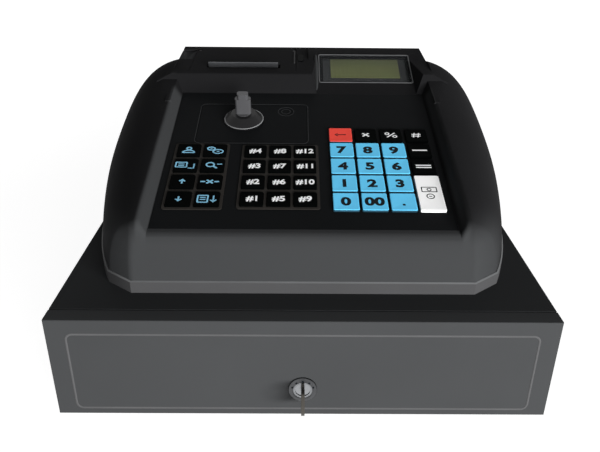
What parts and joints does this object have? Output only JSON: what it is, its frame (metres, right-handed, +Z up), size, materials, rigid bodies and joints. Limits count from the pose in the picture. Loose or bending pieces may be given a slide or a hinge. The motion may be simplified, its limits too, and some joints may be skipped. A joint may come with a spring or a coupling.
{
  "type": "ticket register",
  "caption": "Electronic ticket register on its cash drawer, with key panel, mode lock, display, receipt printer and a till insert that slides out.",
  "frame": {"origin": "on the plane under the rubber feet, below the middle of the part's bounding box", "axes": "+X to the operator's right, -Y towards the operator, +Z up"},
  "size_m": [0.3382, 0.382, 0.1927],
  "materials": {
    "case_paint": "fine dark grey textured paint",
    "plain_steel": "plain zinc-plated sheet",
    "key_steel": "nickel-plated key",
    "bright_chrome": "polished chrome",
    "tray_plastic": "moulded black plastic",
    "housing_plastic": "dark grey moulded plastic with a satin finish",
    "panel_plastic": "black moulded plastic",
    "black_key": "black moulded key",
    "blue_key": "blue moulded key",
    "red_key": "red moulded key",
    "white_key": "white moulded key",
    "board": "green circuit board",
    "lock_plastic": "black moulded dome",
    "mode_key_plastic": "grey moulded key",
    "window_plastic": "clear smoked window",
    "lcd": "yellow-green liquid crystal display",
    "mechanism_plastic": "dark grey printer frame",
    "rubber": "black rubber",
    "paper": "white receipt paper"
  },
  "bodies": {
    "register": {"drawer_case": "case_paint", "rubber_feet": "rubber", "release_solenoid": "plain_steel", "base_pan": "housing_plastic", "top_housing": "housing_plastic", "key_panel": "panel_plastic", "circuit_boards": "board", "mode_lock": "lock_plastic", "display_windows": "window_plastic", "lcd_modules": "lcd", "printer_mechanism": "mechanism_plastic"},
    "drawer": {"drawer_tray": "plain_steel", "drawer_front": "case_paint", "till_insert": "tray_plastic", "drawer_lock": "bright_chrome"},
    "drawer_key": {"drawer_key": "key_steel"},
    "note_clips": {"note_clips": "plain_steel"},
    "mode_key": {"mode_key": "mode_key_plastic"},
    "printer_cover": {"printer_cover": "housing_plastic"},
    "platen_roller": {"platen_roller": "rubber"},
    "paper_roll": {"paper_roll": "paper"},
    "function_key_1": {"function_key_1": "black_key"},
    "function_key_2": {"function_key_2": "black_key"},
    "function_key_3": {"function_key_3": "black_key"},
    "function_key_4": {"function_key_4": "black_key"},
    "function_key_5": {"function_key_5": "black_key"},
    "function_key_6": {"function_key_6": "black_key"},
    "function_key_7": {"function_key_7": "black_key"},
    "function_key_8": {"function_key_8": "black_key"},
    "item_key_1": {"item_key_1": "black_key"},
    "item_key_2": {"item_key_2": "black_key"},
    "item_key_3": {"item_key_3": "black_key"},
    "item_key_4": {"item_key_4": "black_key"},
    "item_key_5": {"item_key_5": "black_key"},
    "item_key_6": {"item_key_6": "black_key"},
    "item_key_7": {"item_key_7": "black_key"},
    "item_key_8": {"item_key_8": "black_key"},
    "item_key_9": {"item_key_9": "black_key"},
    "item_key_10": {"item_key_10": "black_key"},
    "item_key_11": {"item_key_11": "black_key"},
    "item_key_12": {"item_key_12": "black_key"},
    "number_key_0": {"number_key_0": "blue_key"},
    "number_key_00": {"number_key_00": "blue_key"},
    "number_key_1": {"number_key_1": "blue_key"},
    "number_key_2": {"number_key_2": "blue_key"},
    "number_key_3": {"number_key_3": "blue_key"},
    "number_key_4": {"number_key_4": "blue_key"},
    "number_key_5": {"number_key_5": "blue_key"},
    "number_key_6": {"number_key_6": "blue_key"},
    "number_key_7": {"number_key_7": "blue_key"},
    "number_key_8": {"number_key_8": "blue_key"},
    "number_key_9": {"number_key_9": "blue_key"},
    "point_key": {"point_key": "blue_key"},
    "clear_key": {"clear_key": "red_key"},
    "times_key": {"times_key": "black_key"},
    "percent_key": {"percent_key": "black_key"},
    "code_key": {"code_key": "black_key"},
    "minus_key": {"minus_key": "black_key"},
    "subtotal_key": {"subtotal_key": "black_key"},
    "total_key": {"total_key": "white_key"}
  },
  "joints": [
    {"name": "drawer_slide", "type": "slide", "parent": "register", "child": "drawer", "axis": [0, -1, 0], "range_m": [0, 0.24]},
    {"name": "drawer_key_turn", "type": "hinge", "parent": "drawer", "child": "drawer_key", "pos_m": [0, -0.169, 0.0272], "axis": [0, 1, 0], "range_deg": [0, 90]},
    {"name": "note_clips_lift", "type": "hinge", "parent": "drawer", "child": "note_clips", "pos_m": [0, 0.1223, 0.0532], "axis": [-1, 0, 0], "range_deg": [0, 30]},
    {"name": "mode_key_turn", "type": "hinge", "parent": "register", "child": "mode_key", "pos_m": [-0.0482, 0.00406, 0.16516], "axis": [0, -0.2667, 0.9638], "range_deg": [-60, 90]},
    {"name": "printer_cover_lift", "type": "hinge", "parent": "register", "child": "printer_cover", "pos_m": [-0.053, 0.12793, 0.18918], "axis": [-1, 0, 0], "range_deg": [0, 95]},
    {"name": "platen_roller_turn", "type": "hinge", "parent": "register", "child": "platen_roller", "pos_m": [-0.053, 0.074, 0.1716], "axis": [1, 0, 0], "continuous": true},
    {"name": "paper_roll_turn", "type": "hinge", "parent": "register", "child": "paper_roll", "pos_m": [-0.053, 0.107, 0.1586], "axis": [1, 0, 0], "continuous": true},
    {"name": "function_key_1_press", "type": "slide", "parent": "register", "child": "function_key_1", "axis": [0, 0.2667, -0.9638], "range_m": [0, 0.0022], "stiffness_N_per_m": 300, "springref_m": -0.001},
    {"name": "function_key_2_press", "type": "slide", "parent": "register", "child": "function_key_2", "axis": [0, 0.2667, -0.9638], "range_m": [0, 0.0022], "stiffness_N_per_m": 300, "springref_m": -0.001},
    {"name": "function_key_3_press", "type": "slide", "parent": "register", "child": "function_key_3", "axis": [0, 0.2667, -0.9638], "range_m": [0, 0.0022], "stiffness_N_per_m": 300, "springref_m": -0.001},
    {"name": "function_key_4_press", "type": "slide", "parent": "register", "child": "function_key_4", "axis": [0, 0.2667, -0.9638], "range_m": [0, 0.0022], "stiffness_N_per_m": 300, "springref_m": -0.001},
    {"name": "function_key_5_press", "type": "slide", "parent": "register", "child": "function_key_5", "axis": [0, 0.2667, -0.9638], "range_m": [0, 0.0022], "stiffness_N_per_m": 300, "springref_m": -0.001},
    {"name": "function_key_6_press", "type": "slide", "parent": "register", "child": "function_key_6", "axis": [0, 0.2667, -0.9638], "range_m": [0, 0.0022], "stiffness_N_per_m": 300, "springref_m": -0.001},
    {"name": "function_key_7_press", "type": "slide", "parent": "register", "child": "function_key_7", "axis": [0, 0.2667, -0.9638], "range_m": [0, 0.0022], "stiffness_N_per_m": 300, "springref_m": -0.001},
    {"name": "function_key_8_press", "type": "slide", "parent": "register", "child": "function_key_8", "axis": [0, 0.2667, -0.9638], "range_m": [0, 0.0022], "stiffness_N_per_m": 300, "springref_m": -0.001},
    {"name": "item_key_1_press", "type": "slide", "parent": "register", "child": "item_key_1", "axis": [0, 0.2667, -0.9638], "range_m": [0, 0.0022], "stiffness_N_per_m": 300, "springref_m": -0.001},
    {"name": "item_key_2_press", "type": "slide", "parent": "register", "child": "item_key_2", "axis": [0, 0.2667, -0.9638], "range_m": [0, 0.0022], "stiffness_N_per_m": 300, "springref_m": -0.001},
    {"name": "item_key_3_press", "type": "slide", "parent": "register", "child": "item_key_3", "axis": [0, 0.2667, -0.9638], "range_m": [0, 0.0022], "stiffness_N_per_m": 300, "springref_m": -0.001},
    {"name": "item_key_4_press", "type": "slide", "parent": "register", "child": "item_key_4", "axis": [0, 0.2667, -0.9638], "range_m": [0, 0.0022], "stiffness_N_per_m": 300, "springref_m": -0.001},
    {"name": "item_key_5_press", "type": "slide", "parent": "register", "child": "item_key_5", "axis": [0, 0.2667, -0.9638], "range_m": [0, 0.0022], "stiffness_N_per_m": 300, "springref_m": -0.001},
    {"name": "item_key_6_press", "type": "slide", "parent": "register", "child": "item_key_6", "axis": [0, 0.2667, -0.9638], "range_m": [0, 0.0022], "stiffness_N_per_m": 300, "springref_m": -0.001},
    {"name": "item_key_7_press", "type": "slide", "parent": "register", "child": "item_key_7", "axis": [0, 0.2667, -0.9638], "range_m": [0, 0.0022], "stiffness_N_per_m": 300, "springref_m": -0.001},
    {"name": "item_key_8_press", "type": "slide", "parent": "register", "child": "item_key_8", "axis": [0, 0.2667, -0.9638], "range_m": [0, 0.0022], "stiffness_N_per_m": 300, "springref_m": -0.001},
    {"name": "item_key_9_press", "type": "slide", "parent": "register", "child": "item_key_9", "axis": [0, 0.2667, -0.9638], "range_m": [0, 0.0022], "stiffness_N_per_m": 300, "springref_m": -0.001},
    {"name": "item_key_10_press", "type": "slide", "parent": "register", "child": "item_key_10", "axis": [0, 0.2667, -0.9638], "range_m": [0, 0.0022], "stiffness_N_per_m": 300, "springref_m": -0.001},
    {"name": "item_key_11_press", "type": "slide", "parent": "register", "child": "item_key_11", "axis": [0, 0.2667, -0.9638], "range_m": [0, 0.0022], "stiffness_N_per_m": 300, "springref_m": -0.001},
    {"name": "item_key_12_press", "type": "slide", "parent": "register", "child": "item_key_12", "axis": [0, 0.2667, -0.9638], "range_m": [0, 0.0022], "stiffness_N_per_m": 300, "springref_m": -0.001},
    {"name": "number_key_0_press", "type": "slide", "parent": "register", "child": "number_key_0", "axis": [0, 0.2667, -0.9638], "range_m": [0, 0.0022], "stiffness_N_per_m": 300, "springref_m": -0.001},
    {"name": "number_key_00_press", "type": "slide", "parent": "register", "child": "number_key_00", "axis": [0, 0.2667, -0.9638], "range_m": [0, 0.0022], "stiffness_N_per_m": 300, "springref_m": -0.001},
    {"name": "number_key_1_press", "type": "slide", "parent": "register", "child": "number_key_1", "axis": [0, 0.2667, -0.9638], "range_m": [0, 0.0022], "stiffness_N_per_m": 300, "springref_m": -0.001},
    {"name": "number_key_2_press", "type": "slide", "parent": "register", "child": "number_key_2", "axis": [0, 0.2667, -0.9638], "range_m": [0, 0.0022], "stiffness_N_per_m": 300, "springref_m": -0.001},
    {"name": "number_key_3_press", "type": "slide", "parent": "register", "child": "number_key_3", "axis": [0, 0.2667, -0.9638], "range_m": [0, 0.0022], "stiffness_N_per_m": 300, "springref_m": -0.001},
    {"name": "number_key_4_press", "type": "slide", "parent": "register", "child": "number_key_4", "axis": [0, 0.2667, -0.9638], "range_m": [0, 0.0022], "stiffness_N_per_m": 300, "springref_m": -0.001},
    {"name": "number_key_5_press", "type": "slide", "parent": "register", "child": "number_key_5", "axis": [0, 0.2667, -0.9638], "range_m": [0, 0.0022], "stiffness_N_per_m": 300, "springref_m": -0.001},
    {"name": "number_key_6_press", "type": "slide", "parent": "register", "child": "number_key_6", "axis": [0, 0.2667, -0.9638], "range_m": [0, 0.0022], "stiffness_N_per_m": 300, "springref_m": -0.001},
    {"name": "number_key_7_press", "type": "slide", "parent": "register", "child": "number_key_7", "axis": [0, 0.2667, -0.9638], "range_m": [0, 0.0022], "stiffness_N_per_m": 300, "springref_m": -0.001},
    {"name": "number_key_8_press", "type": "slide", "parent": "register", "child": "number_key_8", "axis": [0, 0.2667, -0.9638], "range_m": [0, 0.0022], "stiffness_N_per_m": 300, "springref_m": -0.001},
    {"name": "number_key_9_press", "type": "slide", "parent": "register", "child": "number_key_9", "axis": [0, 0.2667, -0.9638], "range_m": [0, 0.0022], "stiffness_N_per_m": 300, "springref_m": -0.001},
    {"name": "point_key_press", "type": "slide", "parent": "register", "child": "point_key", "axis": [0, 0.2667, -0.9638], "range_m": [0, 0.0022], "stiffness_N_per_m": 300, "springref_m": -0.001},
    {"name": "clear_key_press", "type": "slide", "parent": "register", "child": "clear_key", "axis": [0, 0.2667, -0.9638], "range_m": [0, 0.0022], "stiffness_N_per_m": 300, "springref_m": -0.001},
    {"name": "times_key_press", "type": "slide", "parent": "register", "child": "times_key", "axis": [0, 0.2667, -0.9638], "range_m": [0, 0.0022], "stiffness_N_per_m": 300, "springref_m": -0.001},
    {"name": "percent_key_press", "type": "slide", "parent": "register", "child": "percent_key", "axis": [0, 0.2667, -0.9638], "range_m": [0, 0.0022], "stiffness_N_per_m": 300, "springref_m": -0.001},
    {"name": "code_key_press", "type": "slide", "parent": "register", "child": "code_key", "axis": [0, 0.2667, -0.9638], "range_m": [0, 0.0022], "stiffness_N_per_m": 300, "springref_m": -0.001},
    {"name": "minus_key_press", "type": "slide", "parent": "register", "child": "minus_key", "axis": [0, 0.2667, -0.9638], "range_m": [0, 0.0022], "stiffness_N_per_m": 300, "springref_m": -0.001},
    {"name": "subtotal_key_press", "type": "slide", "parent": "register", "child": "subtotal_key", "axis": [0, 0.2667, -0.9638], "range_m": [0, 0.0022], "stiffness_N_per_m": 300, "springref_m": -0.001},
    {"name": "total_key_press", "type": "slide", "parent": "register", "child": "total_key", "axis": [0, 0.2667, -0.9638], "range_m": [0, 0.0022], "stiffness_N_per_m": 300, "springref_m": -0.001}
  ]
}
